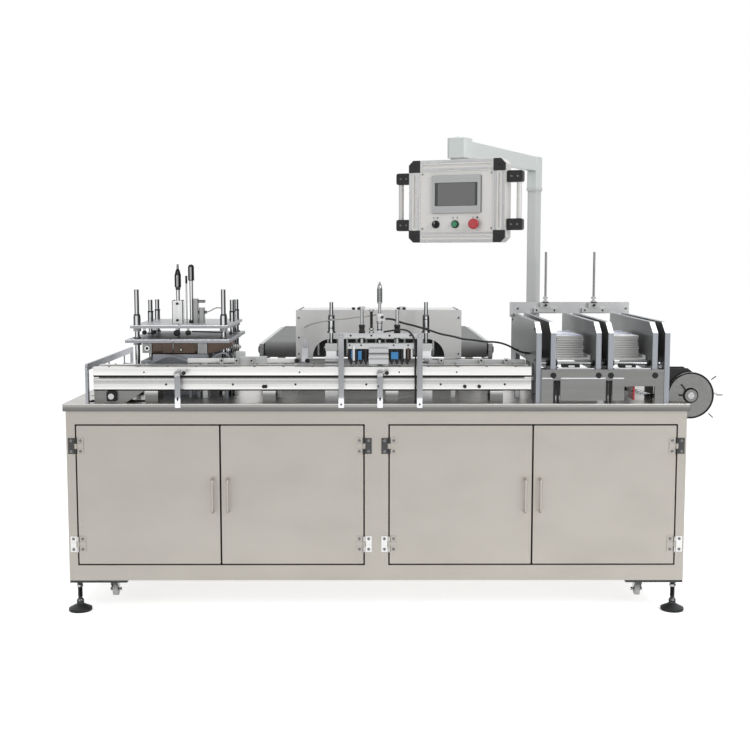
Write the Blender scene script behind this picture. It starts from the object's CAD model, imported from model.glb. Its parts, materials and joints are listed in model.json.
import json
import math
import random

import bmesh
import bpy
from mathutils import Matrix, Vector


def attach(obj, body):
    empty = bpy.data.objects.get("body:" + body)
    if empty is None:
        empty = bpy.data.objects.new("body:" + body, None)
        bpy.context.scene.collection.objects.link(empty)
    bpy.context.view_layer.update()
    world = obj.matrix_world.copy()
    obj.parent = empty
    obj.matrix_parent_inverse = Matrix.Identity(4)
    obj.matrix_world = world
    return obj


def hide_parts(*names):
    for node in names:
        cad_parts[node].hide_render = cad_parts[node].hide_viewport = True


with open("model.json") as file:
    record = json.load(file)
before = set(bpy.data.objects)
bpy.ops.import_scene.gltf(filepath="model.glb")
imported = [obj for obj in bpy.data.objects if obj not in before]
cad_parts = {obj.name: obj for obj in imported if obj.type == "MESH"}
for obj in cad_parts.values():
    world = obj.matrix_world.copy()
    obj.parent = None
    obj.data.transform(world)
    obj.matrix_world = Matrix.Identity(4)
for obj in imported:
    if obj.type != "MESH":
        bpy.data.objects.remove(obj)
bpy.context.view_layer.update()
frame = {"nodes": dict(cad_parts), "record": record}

rng = random.Random(7)

# Datum: the front left foot. x from the middle of the table, y from its front edge, z from the floor, in mm
FOOT_X = 1180.0
FOOT_Y = 50.0
MM = 0.001


def at(x, y, z=0.0):
    return Vector(((x + FOOT_X) * MM, (y - FOOT_Y) * MM, z * MM))


# Camera at the photograph's angle
CAMERA_PLACE = at(-18.0, -4526.0, 1401.0)
CAMERA_DOWN = math.radians(5.73)
CAMERA_TURN = math.radians(-0.15)
FOCAL_PIXELS = 1175.4
FRAME_PIXELS = 750.0


def add_camera():
    data = bpy.data.cameras.new("camera")
    data.sensor_width = 36.0
    data.lens = 36.0 * FOCAL_PIXELS / FRAME_PIXELS
    data.clip_end = 60.0
    camera = bpy.data.objects.new("camera", data)
    camera.location = CAMERA_PLACE
    camera.rotation_euler = (math.radians(90.0) - CAMERA_DOWN, 0.0, CAMERA_TURN)
    bpy.context.scene.collection.objects.link(camera)
    bpy.context.scene.camera = camera


# Node graph helper: one material with a Principled shader and texture coordinates
class Graph:
    def __init__(self, name):
        self.material = bpy.data.materials.new(name)
        self.material.use_nodes = True
        self.tree = self.material.node_tree
        self.shader = self.tree.nodes["Principled BSDF"]
        self.coords = self.add("ShaderNodeTexCoord")

    def add(self, kind, **values):
        node = self.tree.nodes.new(kind)
        for key, value in values.items():
            setattr(node, key, value)
        return node

    def link(self, source, target):
        self.tree.links.new(source, target)

    def mapping(self, scale, turn=(0.0, 0.0, 0.0)):
        node = self.add("ShaderNodeMapping")
        node.inputs["Scale"].default_value = scale
        node.inputs["Rotation"].default_value = turn
        self.link(self.coords.outputs["Object"], node.inputs["Vector"])
        return node.outputs["Vector"]

    def noise(self, scale, detail=3.0, stretch=(1.0, 1.0, 1.0), rough=0.55):
        node = self.add("ShaderNodeTexNoise")
        node.inputs["Scale"].default_value = scale
        node.inputs["Detail"].default_value = detail
        node.inputs["Roughness"].default_value = rough
        self.link(self.mapping(stretch), node.inputs["Vector"])
        return node.outputs["Fac"]

    def ramp(self, source, stops, colours=False):
        node = self.add("ShaderNodeValToRGB")
        while len(node.color_ramp.elements) < len(stops):
            node.color_ramp.elements.new(0.5)
        for element, (place, value) in zip(node.color_ramp.elements, stops):
            element.position = place
            element.color = value if colours else (value, value, value, 1.0)
        self.link(source, node.inputs["Fac"])
        return node.outputs["Color"]

    def span(self, source, low, high, from_low=0.3, from_high=0.7):
        node = self.add("ShaderNodeMapRange")
        node.inputs["From Min"].default_value = from_low
        node.inputs["From Max"].default_value = from_high
        node.inputs["To Min"].default_value = low
        node.inputs["To Max"].default_value = high
        self.link(source, node.inputs["Value"])
        return node.outputs["Result"]

    def mix(self, factor, first, second):
        node = self.add("ShaderNodeMix", data_type="RGBA")
        if isinstance(factor, float):
            node.inputs["Factor"].default_value = factor
        else:
            self.link(factor, node.inputs["Factor"])
        for key, value in (("A", first), ("B", second)):
            socket = [s for s in node.inputs if s.name == key and s.type == "RGBA"][0]
            if isinstance(value, tuple):
                socket.default_value = value
            else:
                self.link(value, socket)
        return [s for s in node.outputs if s.type == "RGBA"][0]

    def maths(self, operation, first, second=None):
        node = self.add("ShaderNodeMath", operation=operation)
        for index, value in enumerate((first, second)):
            if value is None:
                continue
            if isinstance(value, (int, float)):
                node.inputs[index].default_value = value
            else:
                self.link(value, node.inputs[index])
        return node.outputs[0]

    def bump(self, height, strength, distance=0.001, under=None):
        node = self.add("ShaderNodeBump")
        node.inputs["Strength"].default_value = strength
        node.inputs["Distance"].default_value = distance
        self.link(height, node.inputs["Height"])
        if under is not None:
            self.link(under, node.inputs["Normal"])
        return node.outputs["Normal"]

    def times(self, first, second):
        node = self.add("ShaderNodeMix", data_type="RGBA", blend_type="MULTIPLY")
        node.inputs["Factor"].default_value = 1.0
        for key, value in (("A", first), ("B", second)):
            self.link(value, [s for s in node.inputs if s.name == key and s.type == "RGBA"][0])
        return [s for s in node.outputs if s.type == "RGBA"][0]

    # Tone by height over the floor, from (height in mm, tone) pairs
    def levels(self, pairs):
        split = self.add("ShaderNodeSeparateXYZ")
        self.link(self.coords.outputs["Object"], split.inputs[0])
        low, high = pairs[0][0], pairs[-1][0]
        place = self.span(split.outputs["Z"], 0.0, 1.0, low * MM, high * MM)
        return self.ramp(place, [((level - low) / (high - low), tone) for level, tone in pairs])

    # Dark flanks on round polished metal, from how far its surface turns from the three main directions
    def flanks(self, dark):
        split = self.add("ShaderNodeSeparateXYZ")
        self.link(self.coords.outputs["Normal"], split.inputs[0])
        x, y, z = [self.maths("ABSOLUTE", split.outputs[key]) for key in "XYZ"]
        turned = self.maths("ADD", self.maths("MULTIPLY", x, y),
                            self.maths("ADD", self.maths("MULTIPLY", y, z), self.maths("MULTIPLY", z, x)))
        return self.ramp(turned, ((0.22, 1.0), (0.36, 1.0 - dark), (0.5, 1.0 - dark)))

    def finish(self, colour, rough, normal, metallic=0.0):
        shader = self.shader
        if isinstance(colour, tuple):
            shader.inputs["Base Color"].default_value = colour
        else:
            self.link(colour, shader.inputs["Base Color"])
        if isinstance(rough, float):
            shader.inputs["Roughness"].default_value = rough
        else:
            self.link(rough, shader.inputs["Roughness"])
        if normal is not None:
            self.link(normal, shader.inputs["Normal"])
        shader.inputs["Metallic"].default_value = metallic
        return self.material


def shade(colour, factor):
    return (colour[0] * factor, colour[1] * factor, colour[2] * factor, 1.0)


# Brushed or rolled metal: long fine grain, broad smudges and small marks
def brushed(name, colour, metallic, rough, grain, depth=0.15, contrast=0.06, marked=0.12, dark=0.0, pairs=None):
    g = Graph(name)
    fine = g.noise(1.0, 4.0, grain)
    broad = g.noise(3.2, 4.0, (1.0, 1.0, 1.6))
    marks = g.noise(46.0, 5.0, (1.0, 1.0, 1.0), 0.7)
    tone = g.mix(g.span(fine, 0.0, 1.0), shade(colour, 1.0 - contrast), shade(colour, 1.0 + contrast))
    tone = g.mix(g.span(broad, 0.0, 0.35, 0.45, 0.75), tone, shade(colour, 0.86))
    tone = g.mix(g.span(marks, 0.0, marked, 0.66, 0.80), tone, shade(colour, 0.72))
    if dark > 0.0:
        tone = g.times(tone, g.flanks(dark))
    if pairs is not None:
        tone = g.times(tone, g.levels(pairs))
    roughness = g.maths("ADD", g.span(fine, rough - 0.06, rough + 0.06), g.span(broad, -0.04, 0.07))
    normal = g.bump(fine, depth, 0.0004, g.bump(marks, 0.05, 0.0005))
    material = g.finish(tone, roughness, normal, metallic)
    g.shader.inputs["Anisotropic"].default_value = 0.35
    return material


# Painted or moulded surface: slight orange peel, dust in the lows and rubbed patches
def coated(name, colour, rough, peel=180.0, depth=0.12, dust=0.10, metallic=0.0, coat=0.0, shine=0.5):
    g = Graph(name)
    texture = g.noise(peel, 3.0)
    broad = g.noise(5.0, 5.0, (1.0, 1.0, 1.4))
    specks = g.noise(240.0, 2.0, (1.0, 1.0, 1.0), 0.7)
    dusty = tuple(min(1.0, value * 1.06 + 0.012) for value in colour) + (1.0,)
    tone = g.mix(g.span(broad, 0.0, dust, 0.40, 0.70), shade(colour, 1.0), dusty)
    tone = g.mix(g.span(specks, 0.0, 0.25, 0.68, 0.80), tone, shade(colour, 0.75))
    roughness = g.maths("ADD", g.span(texture, rough - 0.03, rough + 0.05), g.span(broad, -0.03, 0.06))
    material = g.finish(tone, roughness, g.bump(texture, depth, 0.0004), metallic)
    g.shader.inputs["Coat Weight"].default_value = coat
    g.shader.inputs["Specular IOR Level"].default_value = shine
    return material


# Cut plate: grey flats with a soft cloud, paler cut edges and polished corners, told apart by the way they face
def cut_plate(name, flat, edge, corner):
    g = Graph(name)
    fine = g.noise(1.0, 4.0, (160.0, 6.0, 160.0))
    cloud = g.noise(2.6, 2.0, (1.0, 1.0, 1.8))
    tone = g.mix(g.span(cloud, 0.0, 1.0, 0.35, 0.7), shade(flat, 0.72), shade(flat, 1.45))
    tone = g.mix(g.span(fine, 0.0, 0.22), tone, shade(flat, 0.6))
    split = g.add("ShaderNodeSeparateXYZ")
    g.link(g.coords.outputs["Normal"], split.inputs[0])
    front = g.maths("ABSOLUTE", split.outputs["Y"])
    up = g.maths("ABSOLUTE", split.outputs["Z"])
    tone = g.mix(g.span(g.maths("ADD", front, up), 0.0, 1.0, 0.4, 0.8), tone, shade(edge, 1.0))
    tone = g.mix(g.span(g.maths("MULTIPLY", front, up), 0.0, 1.0, 0.08, 0.3), tone, shade(corner, 1.0))
    return g.finish(tone, g.span(cloud, 0.30, 0.42), g.bump(fine, 0.06, 0.0004), 0.55)


# Mesh helper: several simple forms gathered in one piece, in the machine's millimetres
class Shape:
    def __init__(self, name, body="machine"):
        self.name = name
        self.body = body
        self.mesh = bmesh.new()
        self.materials = []

    def _slot(self, material):
        if material not in self.materials:
            self.materials.append(material)
        return self.materials.index(material)

    def _mark(self, faces, material, smooth=False):
        index = self._slot(material)
        for face in faces:
            face.material_index = index
            face.smooth = smooth

    # A box between two corners, with eased edges, turned about its middle by spin
    def box(self, x0, x1, y0, y1, z0, z1, material, ease=0.8, spin=None):
        size = Vector((abs(x1 - x0), abs(y1 - y0), abs(z1 - z0))) * MM
        made = bmesh.ops.create_cube(self.mesh, size=1.0)
        verts = made["verts"]
        for vert in verts:
            vert.co = Vector((vert.co.x * size.x, vert.co.y * size.y, vert.co.z * size.z))
        edges = list({edge for vert in verts for edge in vert.link_edges})
        faces = list({face for vert in verts for face in vert.link_faces})
        if ease > 0:
            bevel = bmesh.ops.bevel(self.mesh, geom=edges, offset=min(ease * MM, min(size) * 0.3), segments=2,
                                    profile=0.5, affect="EDGES")
            touched = {vert for face in bevel["faces"] for vert in face.verts}
            touched |= {vert for face in faces if face.is_valid for vert in face.verts}
            verts = list(touched)
            faces = list({face for vert in verts for face in vert.link_faces})
        middle = at((x0 + x1) / 2, (y0 + y1) / 2, (z0 + z1) / 2)
        matrix = Matrix.Translation(middle)
        if spin is not None:
            matrix = matrix @ spin
        for vert in verts:
            vert.co = matrix @ vert.co
        self._mark(faces, material)
        return self

    # A turned form: (distance, radius) pairs along the line from start towards finish, in mm
    def turned(self, start, finish, outline, material, sides=24, smooth=True):
        first = Vector(at(*start))
        last = Vector(at(*finish))
        axis = (last - first).normalized()
        across = axis.orthogonal().normalized()
        other = axis.cross(across)
        rings = []
        for distance, radius in outline:
            centre = first + axis * distance * MM
            if radius <= 0.0:
                rings.append([self.mesh.verts.new(centre)])
                continue
            ring = []
            for k in range(sides):
                turn = 2.0 * math.pi * k / sides
                offset = (across * math.cos(turn) + other * math.sin(turn)) * radius * MM
                ring.append(self.mesh.verts.new(centre + offset))
            rings.append(ring)
        faces = []
        for low, high in zip(rings, rings[1:]):
            for k in range(sides):
                after = (k + 1) % sides
                if len(low) == 1 and len(high) == 1:
                    continue
                if len(low) == 1:
                    faces.append(self.mesh.faces.new((low[0], high[k], high[after])))
                elif len(high) == 1:
                    faces.append(self.mesh.faces.new((low[k], low[after], high[0])))
                else:
                    faces.append(self.mesh.faces.new((low[k], low[after], high[after], high[k])))
        self._mark(faces, material, smooth)
        ends = []
        if len(rings[0]) > 1:
            ends.append(self.mesh.faces.new(list(reversed(rings[0]))))
        if len(rings[-1]) > 1:
            ends.append(self.mesh.faces.new(rings[-1]))
        self._mark(ends, material)
        return self

    def bar(self, start, finish, radius, material, sides=20, ease=0.6):
        length = (Vector(finish) - Vector(start)).length
        ease = min(ease, radius * 0.4, length * 0.3)
        outline = ((0, radius - ease), (ease, radius), (length - ease, radius), (length, radius - ease))
        return self.turned(start, finish, outline, material, sides)

    # A socket-head screw seen from outside: place on the face, and the way its head points
    def screw(self, place, way, radius, material, dark, height=None):
        height = radius * 0.9 if height is None else height
        base = Vector(place)
        way = Vector(way).normalized()
        top = base + way * height
        ease = radius * 0.18
        self.turned(base, top, ((0, radius), (height - ease, radius), (height, radius - ease),
                                (height, radius * 0.52), (height * 0.45, radius * 0.50), (height * 0.45, 0)),
                    material, 16)
        return self

    # A flat outline in the x-z plane pushed back from y0 to y1
    def profile_front(self, points, y0, y1, material, ease=0.6):
        self._prism([(x, y0, z) for x, z in points], [(x, y1, z) for x, z in points], material, ease)
        return self

    # A flat outline in the y-z plane pushed along x
    def profile_side(self, points, x0, x1, material, ease=0.6):
        self._prism([(x0, y, z) for y, z in points], [(x1, y, z) for y, z in points], material, ease)
        return self

    # A flat outline in the x-y plane pushed up
    def profile_top(self, points, z0, z1, material, ease=0.6):
        self._prism([(x, y, z0) for x, y in points], [(x, y, z1) for x, y in points], material, ease)
        return self

    def _prism(self, near, far, material, ease):
        low = [self.mesh.verts.new(at(*p)) for p in near]
        high = [self.mesh.verts.new(at(*p)) for p in far]
        count = len(low)
        faces = [self.mesh.faces.new(low), self.mesh.faces.new(list(reversed(high)))]
        for k in range(count):
            after = (k + 1) % count
            faces.append(self.mesh.faces.new((low[after], low[k], high[k], high[after])))
        bmesh.ops.recalc_face_normals(self.mesh, faces=faces)
        if ease > 0:
            edges = list({edge for face in faces[:2] for edge in face.edges})
            made = bmesh.ops.bevel(self.mesh, geom=edges, offset=ease * MM, segments=1, profile=0.5,
                                   affect="EDGES")
            faces = [face for face in faces if face.is_valid] + list(made["faces"])
        self._mark(faces, material)

    # A flat filled bag: its faces bulge a little and its edges thin out
    def pillow(self, x, y, low, half_x, half_y, thick, material, top_material):
        columns, rows = 8, 14
        grids = []
        for side in (0, 1):
            grid = []
            for i in range(columns + 1):
                line = []
                for j in range(rows + 1):
                    u = 2.0 * i / columns - 1.0
                    v = 2.0 * j / rows - 1.0
                    edge = (1.0 - abs(u) ** 6) * (1.0 - abs(v) ** 8)
                    wave = 0.35 * math.sin(3.1 * v + low) * math.cos(2.3 * u)
                    rise = thick * (0.5 + (0.5 if side else -0.5) * (0.72 + 0.28 * edge)) + wave
                    line.append(self.mesh.verts.new(at(x + u * half_x, y + v * half_y, low + rise)))
                grid.append(line)
            grids.append(grid)
        faces = []
        for side, grid in enumerate(grids):
            made = []
            for i in range(columns):
                for j in range(rows):
                    ring = [grid[i][j], grid[i + 1][j], grid[i + 1][j + 1], grid[i][j + 1]]
                    made.append(self.mesh.faces.new(ring if side else list(reversed(ring))))
            self._mark(made, top_material if side else material, True)
        low_grid, high_grid = grids
        for i in range(columns):
            for j, flip in ((0, False), (rows, True)):
                ring = [low_grid[i][j], low_grid[i + 1][j], high_grid[i + 1][j], high_grid[i][j]]
                faces.append(self.mesh.faces.new(list(reversed(ring)) if flip else ring))
        for j in range(rows):
            for i, flip in ((0, True), (columns, False)):
                ring = [low_grid[i][j], low_grid[i][j + 1], high_grid[i][j + 1], high_grid[i][j]]
                faces.append(self.mesh.faces.new(list(reversed(ring)) if flip else ring))
        self._mark(faces, material)
        return self

    def place(self, slot):
        mesh = bpy.data.meshes.new(self.name)
        self.mesh.normal_update()
        self.mesh.to_mesh(mesh)
        self.mesh.free()
        for material in self.materials:
            mesh.materials.append(material)
        piece = bpy.data.objects.new(self.name, mesh)
        bpy.context.scene.collection.objects.link(piece)
        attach(piece, self.body)
        return piece


# Routes of the free cords, chosen by hand: the corners that each smooth line is pulled towards
PRESS_HOSE = ((-722.5, 500, 1167), (-704, 494, 1174), (-684, 484, 1186), (-660, 470, 1188), (-640, 452, 1172),
              (-630, 438, 1147), (-627, 432, 1121.3))
HEAD_HOSE = ((-296, 355.7, 1112), (-286, 328, 1118), (-258, 288, 1130), (-216, 236, 1141), (-168, 184, 1152),
             (-122, 136, 1157), (-78, 92, 1166), (-42, 58, 1170), (-16, 38, 1176), (-0.5, 28.2, 1178))
HEAD_CABLE = ((34.3, 24, 1163), (54, 25, 1163), (72, 32, 1158), (94, 46, 1148), (118, 62, 1141), (146, 79, 1134),
              (178, 97, 1123), (214, 116, 1112), (256, 136, 1096), (300, 152, 1088), (346, 166, 1074),
              (392, 176, 1070), (438, 182, 1062), (482, 186, 1062), (526, 190, 1050), (560, 196, 1030),
              (590, 204, 1017), (619.7, 212, 1014))
BEAM_CABLE = ((27.3, 17, 1112.5), (50, 7, 1117), (78, 1, 1122), (104, -4, 1124), (130, -8, 1114), (146, -10, 1088),
              (150, -6, 1048), (151, 7, 1008), (150, 12, 962), (152, 13, 912), (151, 12, 872), (150.5, 12, 834.3))


# Free hoses and cables: one smooth line each, with the real length of its tube
def add_cords(looks):
    for node, route, radius, length, look in (
            ("press_hose", PRESS_HOSE, 3.0, 0.160, "clear_tube"),
            ("head_hose", HEAD_HOSE, 3.0, 0.450, "clear_tube"),
            ("head_cable", HEAD_CABLE, 4.0, 0.645, "black_rubber"),
            ("beam_cable", BEAM_CABLE, 3.5, 0.394, "black_rubber")):
        curve = bpy.data.curves.new(node + "_line", "CURVE")
        curve.dimensions = "3D"
        spline = curve.splines.new("NURBS")
        spline.points.add(len(route) - 1)
        for point, place in zip(spline.points, route):
            point.co = (*at(*place), 1.0)
        spline.order_u = 3
        spline.use_endpoint_u = True
        spline.resolution_u = 8
        spline.use_smooth = True
        curve.bevel_depth = radius * MM
        curve.bevel_resolution = 5
        curve.use_fill_caps = True
        curve.materials.append(looks[look])
        cord = bpy.data.objects.new(node + "_line", curve)
        bpy.context.scene.collection.objects.link(cord)
        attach(cord, "machine")
        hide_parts(node)


# The floor, the white surround and level lamps
def add_stage():
    mesh = bpy.data.meshes.new("floor")
    floor = bpy.data.objects.new("floor", mesh)
    reach = 30.0
    grid = bmesh.new()
    corners = [grid.verts.new((x, y, -0.0005)) for x, y in ((-reach, -reach), (reach, -reach), (reach, reach),
                                                            (-reach, reach))]
    grid.faces.new(corners)
    grid.to_mesh(mesh)
    grid.free()
    bpy.context.scene.collection.objects.link(floor)
    material = bpy.data.materials.new("floor_white")
    material.use_nodes = True
    tree = material.node_tree
    tree.nodes.clear()
    output = tree.nodes.new("ShaderNodeOutputMaterial")
    diffuse = tree.nodes.new("ShaderNodeBsdfDiffuse")
    diffuse.inputs["Color"].default_value = (0.86, 0.86, 0.86, 1.0)
    glow = tree.nodes.new("ShaderNodeEmission")
    glow.inputs["Color"].default_value = (1.0, 1.0, 1.0, 1.0)
    seen = seen_directly(tree)
    scaled = tree.nodes.new("ShaderNodeMath")
    scaled.operation = "MULTIPLY"
    scaled.inputs[1].default_value = FLOOR_LIFT
    tree.links.new(seen, scaled.inputs[0])
    tree.links.new(scaled.outputs[0], glow.inputs["Strength"])
    both = tree.nodes.new("ShaderNodeAddShader")
    tree.links.new(diffuse.outputs[0], both.inputs[0])
    tree.links.new(glow.outputs[0], both.inputs[1])
    tree.links.new(both.outputs[0], output.inputs["Surface"])
    mesh.materials.append(material)

    world = bpy.data.worlds.new("surround")
    bpy.context.scene.world = world
    world.use_nodes = True
    tree = world.node_tree
    tree.nodes.clear()
    output = tree.nodes.new("ShaderNodeOutputWorld")
    soft = tree.nodes.new("ShaderNodeBackground")
    soft.inputs["Color"].default_value = (0.95, 0.98, 1.0, 1.0)
    soft.inputs["Strength"].default_value = WORLD_LEVEL
    white = tree.nodes.new("ShaderNodeBackground")
    white.inputs["Color"].default_value = (1.0, 1.0, 1.0, 1.0)
    white.inputs["Strength"].default_value = 1.0
    mixed = tree.nodes.new("ShaderNodeMixShader")
    tree.links.new(seen_directly(tree), mixed.inputs[0])
    tree.links.new(soft.outputs[0], mixed.inputs[1])
    tree.links.new(white.outputs[0], mixed.inputs[2])
    tree.links.new(mixed.outputs[0], output.inputs["Surface"])

    for name, place, aim, width, height, power in LAMPS:
        data = bpy.data.lights.new(name, "AREA")
        data.shape = "RECTANGLE"
        data.size = width
        data.size_y = height
        data.energy = power
        lamp = bpy.data.objects.new(name, data)
        lamp.location = at(*place)
        lamp.rotation_euler = (at(*aim) - at(*place)).to_track_quat("-Z", "Y").to_euler()
        bpy.context.scene.collection.objects.link(lamp)


# One where a ray comes straight from the camera, or by reflection or through glass
def seen_directly(tree):
    path = tree.nodes.new("ShaderNodeLightPath")
    first = tree.nodes.new("ShaderNodeMath")
    first.operation = "MAXIMUM"
    tree.links.new(path.outputs["Is Camera Ray"], first.inputs[0])
    tree.links.new(path.outputs["Is Glossy Ray"], first.inputs[1])
    second = tree.nodes.new("ShaderNodeMath")
    second.operation = "MAXIMUM"
    tree.links.new(first.outputs[0], second.inputs[0])
    tree.links.new(path.outputs["Is Transmission Ray"], second.inputs[1])
    return second.outputs[0]


FLOOR_LIFT = 0.70
WORLD_LEVEL = 0.40
LAMPS = (
    ("key_lamp", (3000.0, -3200.0, 3000.0), (0.0, 300.0, 800.0), 2.6, 1.8, 95.0),
    ("fill_lamp", (-3400.0, -3400.0, 2400.0), (0.0, 300.0, 800.0), 2.2, 2.2, 26.0),
    ("top_lamp", (0.0, 400.0, 4200.0), (0.0, 500.0, 800.0), 3.6, 2.0, 62.0),
)


# Materials, one for each finish the machine shows
def add_looks():
    looks = {
        "cabinet_steel": brushed("cabinet_steel", (0.425, 0.398, 0.362), 0.80, 0.42, (3.0, 3.0, 260.0), 0.05, 0.02,
                                 0.05),
        "table_steel": brushed("table_steel", (0.50, 0.49, 0.47), 0.95, 0.30, (2.0, 220.0, 60.0), 0.06, 0.05, 0.12,
                               0.0, TABLE_TONES),
        "hinge_steel": brushed("hinge_steel", (0.50, 0.50, 0.50), 1.0, 0.24, (8.0, 8.0, 300.0), 0.10, 0.10, 0.2, 0.80),
        "chrome": brushed("chrome", (0.72, 0.73, 0.74), 1.0, 0.10, (60.0, 60.0, 8.0), 0.03, 0.05, 0.1, 0.90),
        "aluminium": brushed("aluminium", (0.50, 0.505, 0.51), 0.95, 0.30, (3.0, 160.0, 160.0), 0.05, 0.04, 0.08,
                             0.45),
        "dark_aluminium": cut_plate("dark_aluminium", (0.125, 0.130, 0.127), (0.30, 0.315, 0.345), (0.95, 0.95, 0.95)),
        "dark_steel": coated("dark_steel", (0.050, 0.054, 0.056), 0.42, 160.0, 0.10, 0.12, 0.4, 0.0, 0.3),
        "black_steel": coated("black_steel", (0.014, 0.014, 0.015), 0.38, 200.0, 0.10, 0.10, 0.1, 0.0, 0.3),
        "white_nylon": coated("white_nylon", (0.72, 0.72, 0.69), 0.45, 120.0, 0.08, 0.05),
        "white_plastic": coated("white_plastic", (0.76, 0.76, 0.75), 0.40, 140.0, 0.06, 0.04),
        "white_paint": coated("white_paint", (0.62, 0.655, 0.64), 0.34, 220.0, 0.05, 0.06, 0.0, 0.2),
        "belt_grey": coated("belt_grey", (0.20, 0.203, 0.20), 0.62, 300.0, 0.25, 0.10, 0.0, 0.0, 0.3),
        "grey_block": coated("grey_block", (0.42, 0.42, 0.41), 0.50, 150.0, 0.10, 0.10),
        "brown_cloth": woven("brown_cloth", (0.085, 0.050, 0.032)),
        "clear_tube": clear_tube("clear_tube", (0.60, 0.59, 0.54)),
        "black_rubber": coated("black_rubber", (0.008, 0.008, 0.009), 0.42, 420.0, 0.10, 0.08, 0.0, 0.0, 0.3),
        "bag_paper": coated("bag_paper", (0.76, 0.755, 0.74), 0.34, 60.0, 0.20, 0.02),
        "black_plastic": coated("black_plastic", (0.011, 0.011, 0.012), 0.36, 190.0, 0.12, 0.10, 0.0, 0.0, 0.25),
        "green_plastic": coated("green_plastic", (0.008, 0.20, 0.085), 0.25, 60.0, 0.04, 0.02, 0.0, 0.2, 0.3),
        "red_plastic": coated("red_plastic", (0.45, 0.020, 0.028), 0.25, 60.0, 0.04, 0.02, 0.0, 0.2, 0.3),
    }
    own = {
        "conveyor_frame": brushed("rail_aluminium", (0.80, 0.79, 0.775), 0.95, 0.28, (3.0, 160.0, 160.0), 0.05, 0.05,
                                  0.10, 0.0, RAIL_TONES),
        "conveyor_ends": brushed("end_plate_steel", (0.21, 0.21, 0.205), 0.85, 0.36, (3.0, 90.0, 90.0), 0.05, 0.05),
        "end_wheel": brushed("wheel_steel", (0.21, 0.21, 0.205), 0.85, 0.38, (90.0, 90.0, 90.0), 0.05, 0.06),
        "front_posts": brushed("post_aluminium", (0.80, 0.81, 0.84), 0.95, 0.28, (160.0, 160.0, 3.0), 0.05, 0.06, 0.10,
                               0.5, POST_TONES),
        "frame_hinges": brushed("hinge_leaf_steel", (0.62, 0.62, 0.61), 1.0, 0.24, (8.0, 8.0, 300.0), 0.10, 0.10, 0.2,
                                0.6, HINGE_TONES),
        "guard_rail": brushed("guard_aluminium", (0.34, 0.35, 0.375), 0.95, 0.28, (60.0, 3.0, 160.0), 0.05, 0.08),
        "press_top_plate": cut_plate("press_plate", (0.34, 0.35, 0.36), (0.34, 0.35, 0.365), (0.9, 0.9, 0.9)),
        "press_platen": cut_plate("platen_plate", (0.34, 0.35, 0.36), (0.33, 0.335, 0.36), (0.9, 0.9, 0.9)),
        "press_cylinders": brushed("cylinder_aluminium", (0.74, 0.74, 0.74), 0.9, 0.30, (90.0, 90.0, 2.0), 0.10, 0.08,
                                   0.05, 0.75),
        "press_fittings": brushed("fitting_black", (0.34, 0.34, 0.34), 1.0, 0.22, (90.0, 90.0, 2.0), 0.05, 0.10, 0.05,
                                  0.96),
        "hmi_case": coated("panel_plate", (0.66, 0.645, 0.625), 0.38, 300.0, 0.05, 0.04, 0.15),
        "hmi_post": coated("post_paint", (0.60, 0.605, 0.60), 0.40, 220.0, 0.05, 0.06),
        "arch_housing": coated("housing_paint", (0.66, 0.65, 0.64), 0.36, 220.0, 0.05, 0.06, 0.0, 0.1),
        "magazine_crossbar": coated("crossbar_paint", (0.56, 0.56, 0.56), 0.36, 220.0, 0.05, 0.06, 0.3),
    }
    for row in frame["record"]["subparts"]:
        node = frame["nodes"][row["node"]]
        node.data.materials.clear()
        node.data.materials.append(own.get(row["node"], looks[row["material_slot"]]))
    return looks


# Tones by height: the table's edge, the slotted rails, the tall posts and the hinges, as (mm, tone) pairs
TABLE_TONES = ((805, 0.30), (812, 0.34), (821, 0.42), (823, 0.66), (831, 0.70), (833, 1.6), (834, 0.95), (836, 0.95))
RAIL_TONES = ((834, 0.20), (862, 0.22), (871, 0.42), (879, 0.85), (881, 0.03), (887, 0.03), (889, 1.10), (898, 0.92),
              (909, 0.84), (917, 0.58), (925, 0.66), (934, 1.15), (936, 0.05), (942, 0.05), (944, 1.12), (952, 1.05),
              (966, 0.92), (975, 0.95), (985, 0.8))
POST_TONES = ((800, 1.15), (852, 1.15), (862, 0.45), (900, 0.40), (1020, 0.36), (1080, 0.50), (1120, 0.60))
HINGE_TONES = ((150, 1.0), (400, 1.0), (560, 0.13), (760, 0.10))


# Coated cloth: two crossed weaves under a glossy skin
def woven(name, colour):
    g = Graph(name)
    warp = g.add("ShaderNodeTexWave", wave_type="BANDS", bands_direction="X")
    warp.inputs["Scale"].default_value = 260.0
    g.link(g.mapping((1.0, 1.0, 1.0)), warp.inputs["Vector"])
    weft = g.add("ShaderNodeTexWave", wave_type="BANDS", bands_direction="Z")
    weft.inputs["Scale"].default_value = 260.0
    g.link(g.mapping((1.0, 1.0, 1.0)), weft.inputs["Vector"])
    weave = g.maths("MULTIPLY", warp.outputs["Fac"], weft.outputs["Fac"])
    broad = g.noise(14.0, 4.0)
    tone = g.mix(g.span(broad, 0.0, 1.0), shade(colour, 0.7), shade(colour, 1.35))
    return g.finish(tone, g.span(broad, 0.30, 0.5), g.bump(weave, 0.3, 0.0004))


# Clear tube: pale, thin-walled and slightly yellow
def clear_tube(name, colour):
    g = Graph(name)
    broad = g.noise(30.0, 2.0)
    tone = g.mix(g.span(broad, 0.0, 1.0), shade(colour, 0.92), shade(colour, 1.05))
    g.shader.inputs["Transmission Weight"].default_value = 0.35
    g.shader.inputs["Alpha"].default_value = 0.85
    return g.finish(tone, 0.18, None)


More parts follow.
